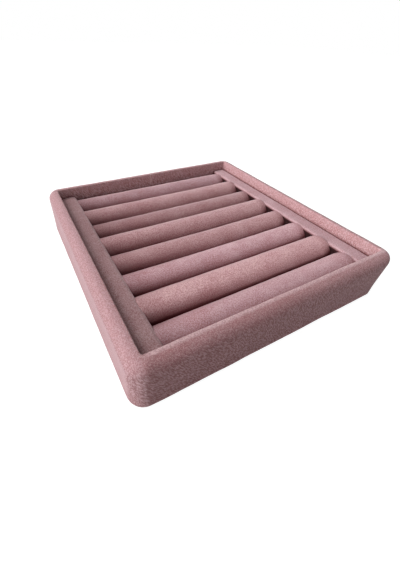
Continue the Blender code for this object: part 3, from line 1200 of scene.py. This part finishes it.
class RINGTRAY_OT_inner_boards(bpy.types.Operator):
    """Gives the boards, the card and the foam inside their finishes"""

    bl_idname = "ring_tray.inner_boards"
    bl_label = "Boards, card and foam"
    bl_options = {"REGISTER", "UNDO"}

    def execute(self, context):
        colours = context.scene.ring_tray.colours
        board = fibreboard(colours)
        foam = soft_foam(colours)
        for name in ("base_board", "front_rail", "back_rail", "left_rail", "right_rail"):
            dress_node(name, board)
        dress_node("insert_board", greyboard(colours))
        for name in ("left_bar_core", "right_bar_core", *(f"roll_core_{n}" for n in ROLLS)):
            dress_node(name, foam)
        return {"FINISHED"}


def dress_node(name, material):
    """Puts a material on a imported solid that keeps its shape."""
    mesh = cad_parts[name].data
    mesh.materials.clear()
    mesh.materials.append(material)


class RINGTRAY_OT_stage(bpy.types.Operator):
    """Sets the floor, the soft window light from the left, and the camera"""

    bl_idname = "ring_tray.stage"
    bl_label = "Floor, light and camera"
    bl_options = {"REGISTER", "UNDO"}

    def execute(self, context):
        stage = context.scene.ring_tray.stage
        self.add_floor(stage)
        self.add_surround(stage)
        for name, (place, width, height, power) in LAMPS.items():
            self.add_lamp(name, place, width, height, power)
        self.add_camera(stage)
        context.scene.view_settings.view_transform = "Standard"
        return {"FINISHED"}

    def add_floor(self, stage):
        floor = add_primitive(bpy.ops.mesh.primitive_plane_add, "floor", size=6, location=(0, 0, 0))
        material, tree, shader, place = new_material("pale_floor")
        shader.inputs["Base Color"].default_value = (*stage.floor, 1)
        shader.inputs["Roughness"].default_value = 0.9
        shader.inputs["Specular IOR Level"].default_value = 0
        seen = self.seen_directly(tree, self.whiter_further_out(tree, place))
        glow = add_node(tree, "ShaderNodeEmission", {"Color": (1, 1, 1, 1), "Strength": seen})
        both = add_node(tree, "ShaderNodeAddShader")
        tree.links.new(shader.outputs["BSDF"], both.inputs[0])
        tree.links.new(glow.outputs["Emission"], both.inputs[1])
        tree.links.new(both.outputs["Shader"], tree.nodes["Material Output"].inputs["Surface"])
        floor.data.materials.append(material)

    def whiter_further_out(self, tree, place):
        """The floor's own light: 0.92 where the tray's shadow falls, and full white further out."""
        shadow_reach = 160 * MM
        white_from = 500 * MM
        distance = add_node(tree, "ShaderNodeVectorMath", {0: place}, operation="LENGTH")
        share = add_node(
            tree,
            "ShaderNodeMapRange",
            {
                "Value": distance.outputs["Value"],
                "From Min": shadow_reach,
                "From Max": white_from,
                "To Min": 0.92,
            },
        )
        return share.outputs["Result"]

    def seen_directly(self, tree, strength):
        """A strength for what the camera, a reflection or glass sees, and none for light."""
        rays = add_node(tree, "ShaderNodeLightPath").outputs
        direct = rays["Is Camera Ray"]
        for kind in ("Is Glossy Ray", "Is Transmission Ray"):
            direct = add_node(
                tree, "ShaderNodeMath", {0: direct, 1: rays[kind]}, operation="MAXIMUM"
            ).outputs["Value"]
        return add_node(
            tree, "ShaderNodeMath", {0: direct, 1: strength}, operation="MULTIPLY"
        ).outputs["Value"]

    def add_surround(self, stage):
        world = bpy.data.worlds.new("pale_studio")
        bpy.context.scene.world = world
        world.use_nodes = True
        tree = world.node_tree
        output = tree.nodes["World Output"]
        soft = tree.nodes["Background"]
        soft.inputs["Color"].default_value = (*stage.surround, 1)
        soft.inputs["Strength"].default_value = 0.03
        white = add_node(tree, "ShaderNodeBackground", {"Color": (1, 1, 1, 1), "Strength": 1.0})
        pick = add_node(tree, "ShaderNodeMixShader", {0: self.seen_directly(tree, strength=1.0)})
        tree.links.new(soft.outputs["Background"], pick.inputs[1])
        tree.links.new(white.outputs["Background"], pick.inputs[2])
        tree.links.new(pick.outputs["Shader"], output.inputs["Surface"])

    def add_lamp(self, name, place, width, height, power):
        lamp = bpy.data.lights.new(name, "AREA")
        lamp.shape = "ELLIPSE"
        lamp.size = width
        lamp.size_y = height
        lamp.energy = power
        obj = bpy.data.objects.new(name, lamp)
        bpy.context.scene.collection.objects.link(obj)
        obj.location = place
        obj.rotation_euler = Vector(place).to_track_quat("Z", "Y").to_euler()

    def add_camera(self, stage):
        """The picture is 400 by 570 pixels; its optical middle and its focal length are in pixels."""
        picture_width = 400
        picture_height = 570
        optical_middle = Vector((166.62, 273.14))
        focal_length = 272.55
        data = bpy.data.cameras.new("camera")
        data.sensor_width = 36
        data.lens = focal_length * data.sensor_width / picture_height
        data.shift_x = (picture_width / 2 - optical_middle.x) / picture_height
        data.shift_y = (optical_middle.y - picture_height / 2) / picture_height
        data.clip_start = 5 * MM
        camera = bpy.data.objects.new("camera", data)
        bpy.context.scene.collection.objects.link(camera)
        turn = Matrix.Rotation(-stage.azimuth, 4, "Z")
        turn @= Matrix.Rotation(math.pi / 2 - stage.elevation, 4, "X")
        turn @= Matrix.Rotation(stage.tilt, 4, "Z")
        camera.matrix_world = Matrix.Translation(stage.camera_place) @ turn
        bpy.context.scene.camera = camera


PIECES = (
    RINGTRAY_OT_wall_velvet,
    RINGTRAY_OT_ring_rolls,
    RINGTRAY_OT_end_bars,
    RINGTRAY_OT_linings,
    RINGTRAY_OT_inner_boards,
    RINGTRAY_OT_stage,
)


class VIEW3D_PT_ring_tray(bpy.types.Panel):
    """Lists the tray's sizes and colours, and the step that makes each group of pieces"""

    bl_label = "Ring tray"
    bl_space_type = "VIEW_3D"
    bl_region_type = "UI"
    bl_category = "Ring tray"

    def draw(self, context):
        settings = context.scene.ring_tray
        for title, group in (
            ("Walls", settings.wall),
            ("Padding", settings.padding),
            ("Colours", settings.colours),
            ("Stage", settings.stage),
        ):
            box = self.layout.box()
            box.label(text=title)
            for name in group.bl_rna.properties.keys():
                if name not in ("rna_type", "name"):
                    box.prop(group, name)
        for piece in PIECES:
            self.layout.operator(piece.bl_idname)


CLASSES = (
    WallSettings,
    PaddingSettings,
    ColourSettings,
    StageSettings,
    TraySettings,
    *PIECES,
    VIEW3D_PT_ring_tray,
)


def register():
    for item in CLASSES:
        bpy.utils.register_class(item)
    bpy.types.Scene.ring_tray = bpy.props.PointerProperty(type=TraySettings)


def unregister():
    del bpy.types.Scene.ring_tray
    for item in reversed(CLASSES):
        bpy.utils.unregister_class(item)


def main():
    register()
    bpy.ops.ring_tray.wall_velvet()
    bpy.ops.ring_tray.ring_rolls()
    bpy.ops.ring_tray.end_bars()
    bpy.ops.ring_tray.linings()
    bpy.ops.ring_tray.inner_boards()
    bpy.ops.ring_tray.stage()


if __name__ == "__main__":
    main()
